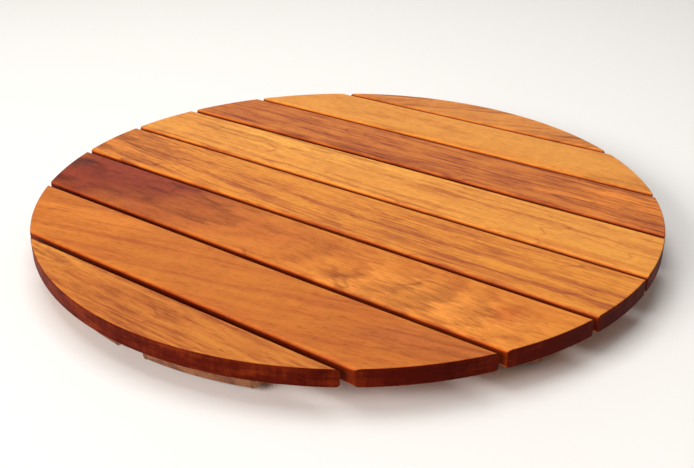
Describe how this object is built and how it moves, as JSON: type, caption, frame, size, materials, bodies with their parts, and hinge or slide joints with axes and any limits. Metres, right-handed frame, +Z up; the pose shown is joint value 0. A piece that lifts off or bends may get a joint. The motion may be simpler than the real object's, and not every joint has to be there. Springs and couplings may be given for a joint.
{
  "type": "bath mat",
  "caption": "Round rigid bath mat of hardwood slats with drain gaps, screwed from below to cross battens that stand on small rubber feet.",
  "frame": {"origin": "on the floor under the middle of the mat, at the centre of the outline circle", "axes": "+Z up, +X along the slats, +Y across them from slat_1 to slat_8"},
  "size_m": [0.711, 0.7112, 0.0436],
  "materials": {
    "teak_golden": "oiled satin, light golden boards",
    "teak_orange": "oiled satin, orange-brown boards",
    "teak_dark": "oiled satin, dark reddish boards",
    "teak_batten": "sanded and lightly oiled",
    "stainless_steel": "plain stainless wood screws",
    "foot_rubber": "matt black rubber"
  },
  "bodies": {
    "root": {"slat_1": "teak_orange", "slat_2": "teak_orange", "slat_3": "teak_dark", "slat_4": "teak_orange", "slat_5": "teak_golden", "slat_6": "teak_dark", "slat_7": "teak_golden", "slat_8": "teak_golden", "batten_inner_left": "teak_batten", "batten_inner_right": "teak_batten", "batten_outer_left": "teak_batten", "batten_outer_right": "teak_batten", "screw_inner_left_1": "stainless_steel", "screw_inner_left_2": "stainless_steel", "screw_inner_left_3": "stainless_steel", "screw_inner_left_4": "stainless_steel", "screw_inner_left_5": "stainless_steel", "screw_inner_left_6": "stainless_steel", "screw_inner_left_7": "stainless_steel", "screw_inner_left_8": "stainless_steel", "screw_inner_right_1": "stainless_steel", "screw_inner_right_2": "stainless_steel", "screw_inner_right_3": "stainless_steel", "screw_inner_right_4": "stainless_steel", "screw_inner_right_5": "stainless_steel", "screw_inner_right_6": "stainless_steel", "screw_inner_right_7": "stainless_steel", "screw_inner_right_8": "stainless_steel", "screw_outer_left_3": "stainless_steel", "screw_outer_left_4": "stainless_steel", "screw_outer_left_5": "stainless_steel", "screw_outer_left_6": "stainless_steel", "screw_outer_right_3": "stainless_steel", "screw_outer_right_4": "stainless_steel", "screw_outer_right_5": "stainless_steel", "screw_outer_right_6": "stainless_steel", "foot_inner_left_front": "foot_rubber", "foot_inner_left_back": "foot_rubber", "foot_inner_right_front": "foot_rubber", "foot_inner_right_back": "foot_rubber", "foot_outer_left_front": "foot_rubber", "foot_outer_left_back": "foot_rubber", "foot_outer_right_front": "foot_rubber", "foot_outer_right_back": "foot_rubber", "foot_screw_inner_left_front": "stainless_steel", "foot_screw_inner_left_back": "stainless_steel", "foot_screw_inner_right_front": "stainless_steel", "foot_screw_inner_right_back": "stainless_steel", "foot_screw_outer_left_front": "stainless_steel", "foot_screw_outer_left_back": "stainless_steel", "foot_screw_outer_right_front": "stainless_steel", "foot_screw_outer_right_back": "stainless_steel"}
  },
  "joints": []
}
